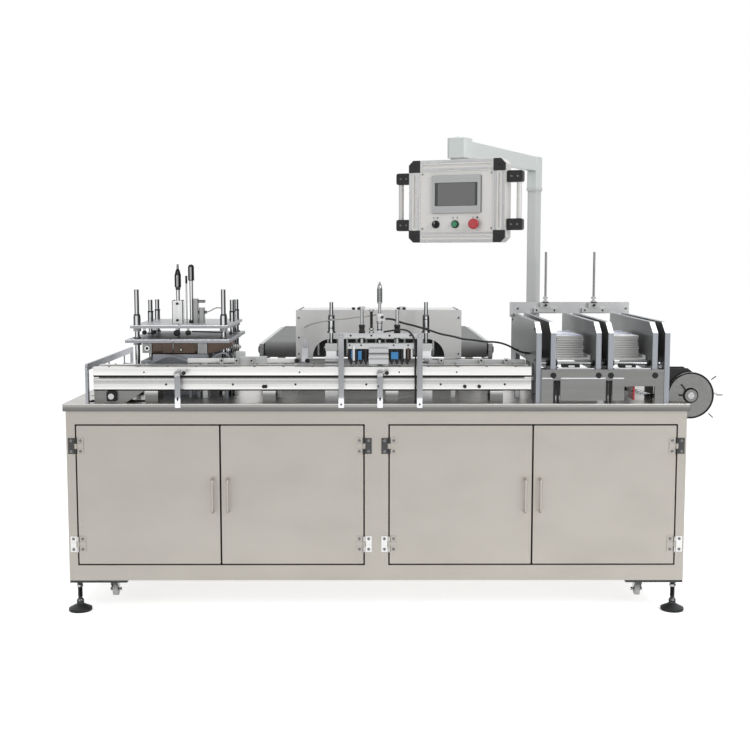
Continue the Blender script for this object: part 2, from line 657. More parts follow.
# Dark display glass over a faint grid of pixels
def display(name):
    g = Graph(name)
    cells = g.noise(900.0, 1.0)
    tone = g.mix(g.span(cells, 0.0, 1.0), (0.022, 0.020, 0.020, 1.0), (0.032, 0.029, 0.029, 1.0))
    g.shader.inputs["Coat Weight"].default_value = 0.6
    g.shader.inputs["Coat Roughness"].default_value = 0.06
    return g.finish(tone, 0.30, None)


# Printed bag film: white with a generic band pattern on the top face
def printed_film(name, base):
    g = Graph(name)
    bands = g.add("ShaderNodeTexWave", wave_type="BANDS", bands_direction="DIAGONAL")
    bands.inputs["Scale"].default_value = 5.5
    bands.inputs["Distortion"].default_value = 2.5
    bands.inputs["Detail"].default_value = 2.0
    g.link(g.mapping((1.0, 1.0, 0.0)), bands.inputs["Vector"])
    patch = g.noise(9.0, 1.0)
    ink = g.maths("MULTIPLY", g.span(bands.outputs["Fac"], 0.0, 1.0, 0.62, 0.72), g.span(patch, 0.0, 1.0, 0.5, 0.56))
    crinkle = g.noise(26.0, 4.0)
    tone = g.mix(ink, shade(base, 1.0), (0.09, 0.14, 0.50, 1.0))
    return g.finish(tone, g.span(crinkle, 0.16, 0.34), g.bump(crinkle, 0.35, 0.002))


# Where the cabinet's doors and hinges are
TABLE_TOP = 834.0
OPENING_LOW = 192.0
OPENING_HIGH = 753.0
DOOR_LOW = OPENING_LOW + 6.0
DOOR_HIGH = OPENING_HIGH - 6.0
FACE = 12.0
HINGES = ((1, -1173.0, 1), (2, -49.0, -1), (3, 49.0, 1), (4, 1173.0, -1))
HINGE_LEVELS = (DOOR_LOW + 48.0, DOOR_HIGH - 111.0)


def add_cabinet(looks):
    steel = looks["hinge_steel"]
    fixed = Shape("hinge_screws")
    for number, pin, free in HINGES:
        moving = Shape("door_%d_hinge_screws" % number, "door_%d_body" % number)
        for low in HINGE_LEVELS:
            for level in (10.5, 52.5):
                fixed.screw((pin - free * 18.0, FACE - 3.0, low + level), (0, -1, 0), 6.0, steel, None, 2.2)
                moving.screw((pin + free * 18.0, FACE - 3.0, low + level), (0, -1, 0), 6.0, steel, None, 2.2)
        moving.place("hinge_steel")
    fixed.place("hinge_steel")

    # Rubber seal strips behind the doors' edges and the magnet catches at the top
    for number, pin, free in HINGES:
        near = pin + free * 10.0
        far = pin + free * 548.0
        low, high = min(near, far), max(near, far)
        seal = Shape("door_%d_seal" % number, "door_%d_body" % number)
        rubber = looks["black_steel"]
        y0, y1 = FACE + 20.0, FACE + 24.0
        seal.box(low + 12, high - 12, y0, y1, DOOR_HIGH - 12, DOOR_HIGH - 6, rubber, 0.5)
        seal.box(low + 12, high - 12, y0, y1, DOOR_LOW + 6, DOOR_LOW + 12, rubber, 0.5)
        seal.place("black_steel")

    # Screws round the rear panels
    rear = Shape("rear_panel_screws")
    for side in (-1, 1):
        for k in range(5):
            x = side * (90.0 + k * 260.0)
            for z in (OPENING_LOW + 14.0, OPENING_HIGH - 14.0):
                rear.screw((x, 985.0, z), (0, 1, 0), 5.0, steel, None, 2.4)
    rear.place("hinge_steel")


# Threads, lock nuts and rubber pads of the levelling feet
def add_feet(looks):
    steel = looks["hinge_steel"]
    rubber = looks["black_steel"]
    for number, (x, y) in enumerate(((-1180.0, 50.0), (1180.0, 50.0), (-1180.0, 950.0), (1180.0, 950.0))):
        foot = Shape("foot_%d_dress" % (number + 1))
        outline = [(0.0, 8.4)]
        z = 0.0
        while z < 52.0:
            outline += [(z + 0.9, 9.3), (z + 1.8, 8.4)]
            z += 1.8
        foot.turned((x, y, 56.0), (x, y, 112.0), outline, steel, 20, False)
        foot.turned((x, y, 0.0), (x, y, 12.0), ((0.2, 44.0), (1.5, 46.0), (8.0, 46.0), (11.0, 45.2)), rubber, 40)
        foot.turned((x, y, 96.0), (x, y, 106.0), ((0, 12.0), (0.8, 13.2), (9.2, 13.2), (10.0, 12.0)), steel, 6,
                    False)
        foot.turned((x, y, 38.0), (x, y, 50.0), ((0, 14.5), (3, 15.0), (10, 11.0), (12, 9.6)), steel, 24)
        foot.place("hinge_steel")


# Rivets, axle nuts and dust rings of the casters, and the hub rings of their wheels
def add_casters(looks):
    steel = looks["hinge_steel"]
    nylon = looks["white_nylon"]
    for number, (x, y) in enumerate(((-1052.0, 100.0), (1052.0, 100.0), (-1052.0, 900.0), (1052.0, 900.0)), 1):
        fork = Shape("caster_%d_dress" % number, "caster_swivel_%d" % number)
        for side in (-1, 1):
            tip = x + side * 17.5
            fork.turned((tip, y + 22.0, 66.0), (tip + side * 5.0, y + 22.0, 66.0),
                        ((0, 7.0), (0.8, 7.6), (4.0, 7.6), (5.0, 6.6)), steel, 6, False)
        fork.turned((x, y, 103.0), (x, y, 110.0), ((0, 24.0), (2.0, 25.5), (5.0, 25.5), (7.0, 23.0)), steel, 28)
        fork.place("hinge_steel")
        hub = Shape("caster_%d_hub" % number, "caster_roller_%d" % number)
        for side in (-1, 1):
            start = (x + side * 9.4, y + 22.0, 66.0)
            finish = (x + side * 11.2, y + 22.0, 66.0)
            hub.turned(start, finish, ((0, 10.0), (1.2, 10.0), (1.8, 9.0)), nylon, 28)
        hub.place("white_nylon")
        plate = Shape("caster_%d_bolts" % number)
        for dx in (-28.0, 28.0):
            for dy in (-28.0, 28.0):
                plate.screw((x + dx, y + dy, 117.0), (0, 0, -1), 4.5, steel, None, 3.5)
        plate.place("hinge_steel")


# Chain, loop round the two shafts: pairs of oval link plates with rollers between
CHAIN_LEFT = -1033.0
CHAIN_RIGHT = 1232.0
CHAIN_Z = 861.0
CHAIN_R = 64.0
CHAIN_Y = 100.0
CHAIN_LINKS = 194


def chain_place(s):
    span = CHAIN_RIGHT - CHAIN_LEFT
    half = math.pi * CHAIN_R
    if s < span:
        return CHAIN_LEFT + s, CHAIN_Z + CHAIN_R, 0.0
    if s < span + half:
        turn = (s - span) / CHAIN_R
        return CHAIN_RIGHT + CHAIN_R * math.sin(turn), CHAIN_Z + CHAIN_R * math.cos(turn), turn
    if s < 2 * span + half:
        return CHAIN_RIGHT - (s - span - half), CHAIN_Z - CHAIN_R, math.pi
    turn = math.pi + (s - 2 * span - half) / CHAIN_R
    return CHAIN_LEFT + CHAIN_R * math.sin(turn), CHAIN_Z + CHAIN_R * math.cos(turn), turn


def add_chain(looks):
    steel = looks["hinge_steel"]
    chain = Shape("chain_links")
    loop = 2 * (CHAIN_RIGHT - CHAIN_LEFT) + 2 * math.pi * CHAIN_R
    pitch = loop / CHAIN_LINKS
    for k in range(CHAIN_LINKS):
        x0, z0, _ = chain_place(k * pitch)
        x1, z1, _ = chain_place(((k + 1) * pitch) % loop)
        chain.turned((x0, CHAIN_Y - 11.5, z0), (x0, CHAIN_Y + 11.5, z0), ((0, 3.6), (23.0, 3.6)), steel, 8)
        offset = 8.4 if k % 2 else 10.2
        along = Vector((x1 - x0, 0.0, z1 - z0))
        length = along.length
        along.normalize()
        up = Vector((-along.z, 0.0, along.x))
        for side in (-1, 1):
            ring = []
            for t, h in ((-5.5, 3.2), (-2.5, 5.8), (4.0, 5.6), (length / 2, 4.0), (length - 4.0, 5.6),
                         (length + 2.5, 5.8), (length + 5.5, 3.2), (length + 5.5, -3.2), (length + 2.5, -5.8),
                         (length - 4.0, -5.6), (length / 2, -4.0), (4.0, -5.6), (-2.5, -5.8), (-5.5, -3.2)):
                ring.append((x0 + along.x * t + up.x * h, z0 + along.z * t + up.z * h))
            y = CHAIN_Y + side * offset
            chain.profile_front(ring, y - 0.8, y + 0.8, steel, 0)
    chain.place("hinge_steel")


# Screws, wear strips, slot covers and chain guides of the conveyor
DECK = 975.0
RAIL_LEFT = -1103.0
RAIL_RIGHT = 603.0


def add_conveyor(looks):
    steel = looks["hinge_steel"]
    black = looks["black_plastic"]
    trim = Shape("conveyor_trim")
    for x in (-820.0, -560.0, -316.0, -40.0, 250.0, 500.0):
        trim.screw((x, 30.0, DECK - 68.0), (0, -1, 0), 4.2, black, None, 3.0)
    for x in (88.0, 312.0, -300.0, -905.0):
        trim.screw((x, 28.0, DECK - 20.0), (0, -1, 0), 3.2, black, None, 1.6)
    for x in (-440.0, -432.0, 344.0, 400.0):
        trim.turned((x, 29.5, DECK - 76.0), (x, 21.0, DECK - 76.0), ((0, 6.0), (1.0, 7.5), (7.0, 7.5), (8.5, 6.0)),
                    black, 6, False)
    # Black T-slot strip, left out at the ends
    trim.box(RAIL_LEFT + 20, RAIL_RIGHT - 26, 35.2, 37.0, DECK - 42.5, DECK - 37.5, black, 0.4)
    # Screws along both wear strips
    count = 15
    for k in range(count):
        x = RAIL_LEFT + 60.0 + k * (RAIL_RIGHT - RAIL_LEFT - 120.0) / (count - 1)
        for y in (42.0, 158.0):
            trim.screw((x, y, DECK), (0, 0, 1), 4.4, steel, None, 2.4)
    trim.place("black_plastic")

    # Bright polished edges and small L brackets that stand along the far rail
    rear = Shape("conveyor_far_brackets")
    for x in (-620.0, -560.0, -500.0, 260.0, 420.0, 520.0):
        rear.box(x - 9, x + 9, 150.0, 168.0, DECK, DECK + 4, steel, 0.5)
        rear.box(x - 9, x + 9, 164.0, 168.0, DECK, DECK + 22, steel, 0.5)
        rear.screw((x, 164.0, DECK + 14), (0, -1, 0), 4.0, looks["black_plastic"], None, 3.0)
    rear.place("hinge_steel")

    # Folded film lengths and a pale guide bar that lie along the back of the deck
    guide = Shape("deck_guide_bars")
    white = looks["white_plastic"]
    guide.box(-760.0, -330.0, 186.0, 204.0, DECK + 2, DECK + 20, white, 2.0)
    guide.box(-560.0, -440.0, 180.0, 210.0, DECK - 2, DECK + 27, looks["aluminium"], 1.0)
    guide.box(-700.0, -680.0, 184.0, 206.0, TABLE_TOP, DECK + 2, looks["aluminium"], 1.0)
    guide.box(-400.0, -380.0, 184.0, 206.0, TABLE_TOP, DECK + 2, looks["aluminium"], 1.0)
    guide.box(210.0, 600.0, 190.0, 226.0, DECK - 6, DECK + 14, looks["aluminium"], 1.0)
    guide.box(300.0, 320.0, 196.0, 220.0, TABLE_TOP, DECK - 6, looks["aluminium"], 1.0)
    guide.box(560.0, 580.0, 196.0, 220.0, TABLE_TOP, DECK - 6, looks["aluminium"], 1.0)
    guide.place("aluminium")

    # Shaft collars, bearing bolts and key at the left end, hub bolts of the end wheel
    ends = Shape("bearing_dress")
    for dx in (-13.5, 13.5):
        for dz in (-13.5, 13.5):
            ends.screw((-1033.0 + dx, 40.0, 861.0 + dz), (0, -1, 0), 4.0, steel, None, 3.5)
    ends.turned((-1033.0, 26.0, 861.0), (-1033.0, 16.0, 861.0), ((0, 12.5), (9.0, 12.5), (10.0, 11.2)), steel, 28)
    ends.place("black_steel")
    wheel = Shape("end_wheel_hub", "end_wheel_body")
    wheel.turned((1232.0, 50.0, 861.0), (1232.0, 40.0, 861.0), ((0, 17.0), (6.0, 17.0), (7.0, 15.5), (9.0, 13.0)),
                 steel, 32)
    wheel.place("hinge_steel")

    # Dark spring fingers and a bent strap on the flights at the right end
    fingers = Shape("flight_fingers")
    for turn in (0.9, 1.55, 2.35):
        x = 1232.0 + 100.0 * math.sin(turn)
        z = 861.0 + 100.0 * math.cos(turn)
        fingers.bar((x, 48.0, z), (x + 24.0 * math.sin(turn), 46.0, z + 24.0 * math.cos(turn)), 2.0, black, 10)
    fingers.bar((1186.0, 47.0, 862.0), (1252.0, 47.0, 862.0), 3.2, black, 10)
    fingers.box(1204.0, 1222.0, 43.0, 49.0, 854.0, 869.0, black, 1.5)
    fingers.box(1236.0, 1252.0, 43.0, 49.0, 855.0, 868.0, black, 1.5)
    bend = [(1194.0 + 22.0 * math.sin(k * 0.30), 46.5, 905.0 - 7.6 * k) for k in range(9)]
    for first, last in zip(bend, bend[1:]):
        fingers.bar(first, last, 2.4, black, 10, 0.2)
    fingers.place("black_steel")


# Screws, clamps and knobs of the front posts
def add_posts(looks):
    black = looks["black_plastic"]
    steel = looks["hinge_steel"]
    dress = Shape("post_dress")
    for x, top in ((-770.0, 961.0), (13.5, 961.0)):
        dress.screw((x, -10.0, 855.0), (0, -1, 0), 4.0, black, None, 2.6)
        dress.box(x - 12, x + 12, -16, -10, top - 20, top - 4, steel, 1.2,
                  Matrix.Rotation(math.radians(-9.0), 4, "Y"))
        dress.bar((x + 11.0, -12.0, top - 12.0), (x + 22.0, -12.0, top - 7.0), 3.0, steel, 12)
        dress.turned((x + 20.0, -13.0, top - 8.0), (x + 34.0, -14.0, top - 2.0),
                     ((0, 4.0), (2.0, 7.0), (8.0, 8.0), (13.0, 6.0), (14.5, 3.0)), black, 20)
    for x in (-137.0, 167.0):
        dress.screw((x, -10.0, 833.0), (0, -1, 0), 4.4, steel, None, 3.0)
        dress.turned((x, -13.0, 1098.0), (x, -15.0, 1098.0), ((0, 6.6), (1.2, 6.6), (2.0, 5.2)), steel, 24)
    dress.screw((6.0, -10.0, 904.0), (0, -1, 0), 3.6, black, None, 3.0)
    dress.place("black_plastic")
    bracket = Shape("slant_bracket_knobs")
    for x, z in ((-317.0, DECK + 14.0), (-276.0, DECK + 14.0)):
        bracket.bar((x, 176.0, z), (x, 160.0, z), 3.0, steel, 12)
        bracket.turned((x, 162.0, z), (x, 148.0, z), ((0, 5.0), (2.0, 9.0), (9.0, 9.5), (14.0, 6.0)), black, 22)
    bracket.place("black_plastic")


# Guard rail: screws in its feet and the knuckles of its hanging rods
def add_guard(looks):
    steel = looks["hinge_steel"]
    black = looks["black_plastic"]
    guard = Shape("guard_dress")
    for y in (18.0, 874.0):
        guard.screw((-1129.0, y, 862.0), (-1, 0, 0), 4.5, steel, None, 3.0)
    guard.turned((-1124.0, 6.0, 972.0), (-1124.0, 2.0, 972.0), ((0, 5.5), (3.0, 5.5), (4.0, 4.5)), steel, 20)
    for y in (402.0, 709.0):
        guard.turned((-1124.0, y, 930.0), (-1124.0, y, 919.0), ((0, 4.4), (2, 5.5), (9, 5.5), (11, 4.4)), black, 16)
    guard.place("dark_steel")


# Press station: springs, rings, nuts, cylinder details, insulating posts and foil under the platen
def add_press(looks):
    steel = looks["hinge_steel"]
    chrome = looks["chrome"]
    black = looks["black_plastic"]
    white = looks["white_plastic"]
    columns = [(x, y) for y in (340.0, 640.0, 805.0) for x in (-990.0, -632.0)]
    fixed = Shape("press_dress")
    for x, y in columns:
        outline = []
        for k in range(9):
            outline += [(k * 1.6, 10.6), (k * 1.6 + 0.8, 12.0)]
        fixed.turned((x, y, 849.0), (x, y, 864.0), outline, steel, 22, False)
        fixed.turned((x, y, 1160.0), (x, y, 1166.0), ((0, 12.0), (1, 13.2), (5, 13.2), (6, 12.0)), black, 24)
        for k in range(4):
            turn = math.radians(45.0 + 90.0 * k)
            fixed.screw((x + 18.0 * math.cos(turn), y + 18.0 * math.sin(turn), 848.0), (0, 0, 1), 3.0, steel,
                        None, 2.5)
    for x in (-1020.0, -811.0, -602.0):
        for y in (310.0, 828.0):
            if x == -811.0:
                fixed.screw((x, y, 1121.0), (0, 0, 1), 5.0, steel, None, 4.0)
    for dx in (-18.0, 18.0):
        for dy in (-18.0, 18.0):
            fixed.screw((-845.0 + dx, 500.0 + dy, 1216.0), (0, 0, 1), 3.6, black, None, 3.0)
    for z in (1134.0, 1204.0):
        fixed.turned((-845.0, 476.0, z), (-845.0, 466.0, z), ((0, 4.6), (6, 4.6), (7, 5.4), (10, 5.4)), black, 14)
    fixed.turned((-845.0, 500.0, 1262.0), (-845.0, 500.0, 1270.0), ((0, 9.0), (1, 10.5), (7, 10.5), (8, 9.0)),
                 black, 24)
    fixed.turned((-788.0, 500.0, 1121.0), (-788.0, 500.0, 1133.0), ((0, 11.0), (1, 12.5), (10, 12.5), (12, 9.0)),
                 black, 24)
    fixed.bar((-809.0, 500.0, 1289.0), (-809.0, 500.0, 1322.0), 4.6, black, 14)
    fixed.place("black_plastic")

    # Rings, cross rods and fittings between the two plates, on the fixed plate's underside
    between = Shape("press_fittings_dress")
    for x, y, radius in ((-822.0, 310.0, 13.0), (-776.0, 310.0, 11.0), (-960.0, 330.0, 9.0), (-925.0, 350.0, 9.0)):
        between.turned((x, y, 1090.0), (x, y + 16.0, 1090.0), ((0, radius * 0.6), (0.5, radius), (15, radius),
                                                                (16, radius * 0.6)), black, 26)
        between.box(x - 5, x + 5, y + 2, y + 14, 1098.0, 1109.0, steel, 0.6)
    between.bar((-760.0, 316.0, 1096.0), (-640.0, 316.0, 1092.0), 3.0, black, 12)
    between.place("black_plastic")

    # Moving side: nuts over the platen's bushes, thin stays and clamps on the seal bars
    moving = Shape("platen_dress", "press_body")
    for x, y in columns:
        moving.turned((x, y, 1066.0), (x, y, 1072.0), ((0, 15.5), (5, 15.5), (6, 14.5)), steel, 26)
    for x in (-950.0, -840.0, -735.0, -660.0):
        moving.screw((x, 262.0, 1066.0), (0, 0, 1), 5.0, steel, None, 4.0)
    moving.bar((-827.0, 248.0, 1060.0), (-827.0, 248.0, 1012.0), 2.4, steel, 10)
    moving.turned((-794.0, 250.0, 1026.0), (-794.0, 240.0, 1026.0), ((0, 5.0), (8, 5.0), (10, 3.5)), steel, 16)
    moving.box(-870.0, -740.0, 249.0, 251.6, 1012.0, 1050.0, looks["brown_cloth"], 0.5)
    moving.turned((-934.0, 256.0, 1031.0), (-934.0, 250.0, 1031.0), ((0, 12.0), (5, 12.0), (6, 11.0)), chrome, 26)
    moving.turned((-934.0, 250.5, 1031.0), (-934.0, 249.0, 1031.0), ((0, 6.0), (1.5, 6.0)), black, 20)
    for x in (-720.0, -712.0, -704.0):
        moving.box(x - 1.0, x + 1.0, 252.5, 255.0, 1011.0, 1051.0, looks["grey_block"], 0.2)
    moving.place("hinge_steel")

    # Side blocks, corrugated connectors and a red tab beside the press
    side = Shape("press_side_dress")
    side.box(-620.0, -575.0, 280.0, 320.0, TABLE_TOP, 1010.0, looks["aluminium"], 1.2)
    side.box(-578.0, -540.0, 286.0, 316.0, 975.0, 1016.0, white, 1.5)
    for k in range(7):
        x = -614.0 + k * 8.0
        side.turned((x, 296.0, 1034.0), (x + 5.0, 296.0, 1034.0), ((0, 8.0), (2.5, 12.5), (5.0, 8.0)),
                    looks["grey_block"], 20)
    side.bar((-618.0, 296.0, 1034.0), (-556.0, 296.0, 1034.0), 7.0, looks["grey_block"], 18)
    side.box(-600.0, -592.0, 290.0, 302.0, 1010.0, 1028.0, black, 0.6)
    side.box(-596.0, -588.0, 292.0, 300.0, 1042.0, 1054.0, looks["red_plastic"], 1.0)
    for x in (-612.0, -598.0, -586.0):
        side.bar((x, 262.0, TABLE_TOP), (x, 262.0, 1020.0), 4.2, black if x == -598.0 else chrome, 14)
    side.place("aluminium")


# Centre head: bushings, bolts, hooded box's scallops, grippers' faces and side clamps
def add_head(looks):
    steel = looks["hinge_steel"]
    chrome = looks["chrome"]
    black = looks["black_plastic"]
    white = looks["white_plastic"]
    fixed = Shape("head_dress")
    for x in (-57.0, 80.0):
        fixed.turned((x, 24.0, 1108.0), (x, 24.0, 1141.0), ((0, 12.0), (2, 12.6), (10, 12.6), (11, 10.6), (22, 10.6),
                                                            (23, 12.2), (32, 12.2), (33, 10.0)), black, 28)
        fixed.turned((x, 24.0, 1091.0), (x, 24.0, 1085.0), ((0, 12.0), (5, 12.0), (6, 11.0)), steel, 26)
    for x in (-100.0, -20.0, 50.0, 130.0):
        fixed.screw((x, 0.0, 1099.5), (0, -1, 0), 4.0, black, None, 2.5)
    fixed.turned((12.0, 13.0, 1090.0), (12.0, 4.0, 1086.0), ((0, 4), (2, 6.5), (8, 6.5), (10, 4)), black, 20)
    fixed.bar((12.0, 24.0, 1155.0), (12.0, 24.0, 1184.0), 12.6, white, 28)
    fixed.turned((20.0, 13.0, 1168.0), (24.0, 4.0, 1172.0), ((0, 3), (2, 5.0), (8, 5.0), (9.5, 3)), black, 16)
    for z in (1120.0, 1146.0):
        fixed.turned((12.0, 24.0, z), (12.0, 24.0, z + 3.0), ((0, 10.6), (0.6, 11.3), (2.4, 11.3), (3, 10.6)), black,
                     26)
    outline = []
    for k in range(34):
        outline += [(k * 2.4, 5.2), (k * 2.4 + 1.2, 6.4)]
    fixed.turned((-20.0, 24.0, 1116.0), (-20.0, 24.0, 1198.0), outline, steel, 18, False)
    for k in range(18):
        turn = 2.0 * math.pi * k / 18.0
        x = 12.0 + 9.3 * math.cos(turn)
        y = 24.0 + 9.3 * math.sin(turn)
        fixed.bar((x, y, 1228.0), (x, y, 1280.0), 0.9, black, 6, 0.2)
    fixed.place("black_plastic")

    moving = Shape("moving_head_dress", "head_body")
    for k in range(9):
        x = -26.0 + k * 8.5
        moving.turned((x, 3.8, 1052.0), (x, 2.0, 1052.0), ((0, 4.4), (1.2, 4.4), (1.8, 3.6)), looks["grey_block"], 16)
    for z in (1009.0, 1023.0):
        moving.box(-29.5, 45.5, -6.0, -3.8, z, z + 3.4, looks["grey_block"], 0.4)
    blue = coated("blue_anodised", (0.045, 0.20, 0.42), 0.35, 150.0, 0.08, 0.06, 0.4)
    moving.box(56.0, 84.0, 3.0, 6.0, 1008.0, 1036.0, blue, 1.0)
    moving.box(-98.0, -84.0, 3.0, 6.0, 1010.0, 1044.0, blue, 1.0)
    moving.box(-72.0, -58.0, 3.0, 6.0, 1006.0, 1040.0, blue, 1.0)
    moving.bar((-88.5, 1.0, 1062.0), (-88.5, 1.0, 1003.0), 4.6, white, 18)
    for x in (112.0, 126.0, 140.0):
        moving.bar((x - 4.0, 6.0, 1052.0), (x - 4.0, 6.0, 1010.0), 4.0, white if x != 126.0 else looks["brown_cloth"],
                   16)
    for x in (-104.0, -60.0, 66.0, 122.0):
        moving.screw((x, 4.0, 1062.0), (0, -1, 0), 3.4, black, None, 2.5)
    moving.place("aluminium")

    # Foot blocks of the tall columns: white insulators, plates and clamp rings
    guides = Shape("head_guide_dress")
    for x in (-183.0, 202.0):
        guides.box(x - 24, x + 24, 226.0, 231.5, 1022.0, 1052.0, white, 1.6)
        guides.box(x - 30, x + 30, 228.0, 296.0, 1033.0, 1039.0, steel, 0.8)
        guides.turned((x, 262.0, 1039.0), (x, 262.0, 1052.0), ((0, 12.0), (2, 13.5), (11, 13.5), (13, 9.5)), black, 26)
        guides.turned((x, 262.0, 1160.0), (x, 262.0, 1168.0), ((0, 12.0), (1, 13.0), (7, 13.0), (8, 10.0)), steel, 26)
        for dz in (1112.0, 1148.0):
            guides.turned((x, 262.0, dz), (x, 262.0, dz + 3.0), ((0, 14.3), (3, 14.3)), black, 26)
    guides.place("white_plastic")


# Arched housing: screws, seams and the two top clamps' bolts
def add_arch(looks):
    steel = looks["hinge_steel"]
    black = looks["black_plastic"]
    arch = Shape("arch_screws")
    for x in (-322.0, 342.0):
        for z in (1150.0, 1068.0, 1000.0):
            arch.screw((x, 356.0, z), (0, -1, 0), 3.6, black, None, 2.4)
    for x in (-95.0, -72.0, 92.0, 116.0):
        arch.turned((x, 372.0, 1183.0), (x, 372.0, 1193.0), ((0, 6.0), (2, 7.0), (8, 7.0), (10, 4.5)), black, 18)
    for x in (-316.0, 336.0):
        for y in (366.0, 470.0, 578.0):
            arch.screw((x, y, 1183.0), (0, 0, 1), 4.6, steel, None, 3.0)
    for side, x in ((-1, -334.0), (1, 354.0)):
        for y in (400.0, 480.0, 560.0):
            for z in (870.0, 1160.0):
                arch.screw((x, y, z), (side, 0, 0), 4.0, steel, None, 2.6)
    arch.place("hinge_steel")

    # Dark guide fingers and chain rods seen inside the mouth
    inner = Shape("mouth_fingers")
    for k in range(26):
        x = -246.0 + k * 20.4
        inner.box(x - 4, x + 4, 470.0, 474.0, 984.0, 1120.0, looks["dark_steel"] if k % 2 else steel, 0.4)
    inner.box(-320.0, 340.0, 474.0, 482.0, 984.0, 1130.0, looks["dark_steel"], 0.8)
    inner.place("dark_steel")


# Magazines: knobs, plate bolts, rods' clamps and the crossbar's fastenings
def add_magazines(looks):
    steel = looks["hinge_steel"]
    chrome = looks["chrome"]
    black = looks["black_plastic"]
    white = looks["white_plastic"]
    inner = (676.0, 852.0, 899.0, 1071.0)
    dress = Shape("magazine_dress")
    for x in inner:
        middle = x + 10.0
        dress.turned((middle, 18.0, 944.0), (middle, 2.0, 944.0), ((0, 4.0), (3, 7.0), (5, 10.5), (12, 11.5),
                                                                   (16, 9.0)), black, 26)
        for y in (60.0, 330.0, 600.0):
            for side in (-1, 1):
                face = middle + side * 10.0
                dress.turned((face, y, 988.0), (face + side * 12.0, y, 988.0), ((0, 10.5), (1, 11.5), (11, 11.5),
                                                                                 (12, 10.0)), black, 26)
                dress.turned((face + side * 6.0, y, 999.0), (face + side * 6.0, y, 1004.0), ((0, 3.0), (5, 3.0)),
                             steel, 12)
    for x, side in ((620.0, -1), (1139.0, 1)):
        for y, z in ((60.0, 866.0), (60.0, 1000.0), (330.0, 1000.0), (600.0, 1000.0), (80.0, 1120.0),
                     (800.0, 1120.0), (780.0, 866.0)):
            dress.screw((x, y, z), (side, 0, 0), 5.2, steel, None, 3.4)
    # Bright strips under the plates and the white pads
    for x0, x1 in ((696.0, 852.0), (919.0, 1071.0)):
        dress.box(x0 + 4, x1 - 4, 22.0, 30.0, 957.0, 972.0, chrome, 1.0)
        dress.box(x0 + 28, x1 - 58, 40.0, 70.0, 972.0, 984.0, black, 1.0)
        dress.box(x0 + 52, x0 + 76, 34.0, 44.0, 960.0, 980.0, white, 1.4)
    dress.place("black_plastic")

    # Folded lips of the lower body panels and the dark slots between them
    base = Shape("magazine_base_lines")
    for x0, x1 in ((640.0, 686.0), (714.0, 890.0), (916.0, 962.0)):
        base.box(x0 + 1, x1 - 1, 6.4, 8.0, 930.0, 936.0, chrome, 0.5)
    for x in (686.0, 890.0):
        base.box(x + 2, x + 10, 19.0, 24.0, TABLE_TOP, 922.0, black, 0.4)
        base.box(x + 15, x + 25, 19.0, 24.0, TABLE_TOP, 922.0, black, 0.4)
    base.box(1000.0, 1006.0, 22.0, 120.0, 846.0, 900.0, looks["red_plastic"], 0.8)
    for k in range(3):
        base.bar((968.0, 30.0 + k * 20.0, 896.0 - k * 6.0), (1098.0, 30.0 + k * 20.0, 862.0 - k * 6.0), 3.4, chrome, 12)
    base.place("hinge_steel")

    bar = Shape("crossbar_dress")
    for x in (763.0, 980.0):
        outline = []
        for k in range(112):
            outline += [(k * 2.0, 4.6), (k * 2.0 + 1.0, 5.6)]
        bar.turned((x, 772.0, 1224.0), (x, 772.0, 1424.0), outline[:200], looks["dark_steel"], 12, False)
        bar.turned((x, 757.0, 1186.0), (x, 748.0, 1186.0), ((0, 3.0), (2, 5.5), (8, 5.5), (9, 4.0)), black, 18)
        for dx in (-40.0, 40.0):
            bar.screw((x + dx, 764.0, 1163.0), (0, -1, 0), 4.0, black, None, 3.0)
        bar.turned((x, 772.0, 1196.0), (x, 772.0, 1200.0), ((0, 18.0), (1, 19.0), (3, 19.0), (4, 17.0)), black, 26)
    for x in (640.0, 1128.0):
        bar.screw((x, 782.0, 1170.0), (0, -1, 0), 5.0, steel, None, 3.5)
    bar.place("hinge_steel")


# Bag stacks: thin bags laid on one another, each a little out of line, the top one printed
def add_bags(looks):
    film = looks["bag_paper"]
    printed = printed_film("bag_print", (0.86, 0.87, 0.90))
    for number, (x0, x1) in enumerate(((676.0, 852.0), (899.0, 1071.0)), 1):
        stack = Shape("bags_%d" % number)
        middle = (x0 + x1 + 20.0) / 2
        bags = 13
        floor = 998.4
        lift = 91.0 / bags
        for k in range(bags):
            low = floor + k * lift
            dx = rng.uniform(-1.6, 1.6)
            dy = rng.uniform(-3.0, 3.0)
            half = 56.0 if k < 7 else 54.0
            long_half = 167.0 if k < 7 else 164.0
            top = k == bags - 1
            stack.pillow(middle + dx, 337.0 + dy, low, half, long_half, lift * 0.94, film, printed if top else film)
        piece = stack.place("bag_paper")
    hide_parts("bag_stacks")


# Control panel: display, ribbed profiles, buttons' marks, key and handle screws
PANEL_YAW = -24.0
PANEL_X = 305.0
PANEL_Y = 20.0
PANEL_Z = 1614.5


def panel_at(across, up, out=0.0):
    turn = math.radians(PANEL_YAW)
    nx, ny = math.sin(turn), -math.cos(turn)
    return (PANEL_X - ny * across + nx * out, PANEL_Y + nx * across + ny * out, PANEL_Z + up)


def panel_way():
    turn = math.radians(PANEL_YAW)
    return (math.sin(turn), -math.cos(turn), 0.0)


